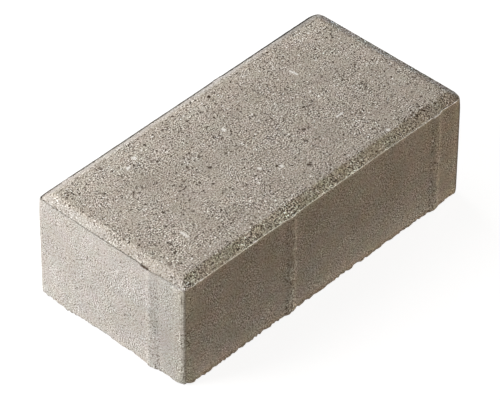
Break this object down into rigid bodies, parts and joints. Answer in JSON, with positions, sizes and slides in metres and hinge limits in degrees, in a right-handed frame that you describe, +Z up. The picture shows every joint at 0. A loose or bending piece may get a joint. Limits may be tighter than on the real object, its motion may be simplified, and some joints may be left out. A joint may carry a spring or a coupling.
{
  "type": "concrete paving stone",
  "caption": "Rectangular pressed concrete paving block with a sloped top edge, a thin moulding fin at its foot and shallow upright spacer nibs on its side faces.",
  "frame": {"origin": "middle of the flat underside, on the surface that the block stands on", "axes": "+X along the block's length, +Y across its width, +Z up towards the sloped-edge face that is walked on"},
  "size_m": [0.2, 0.1, 0.065],
  "materials": {
    "concrete": "raw pressed concrete, dry and matt, sandy on top and smoother on the sides"
  },
  "bodies": {
    "root": {"paving_stone": "concrete"}
  },
  "joints": []
}
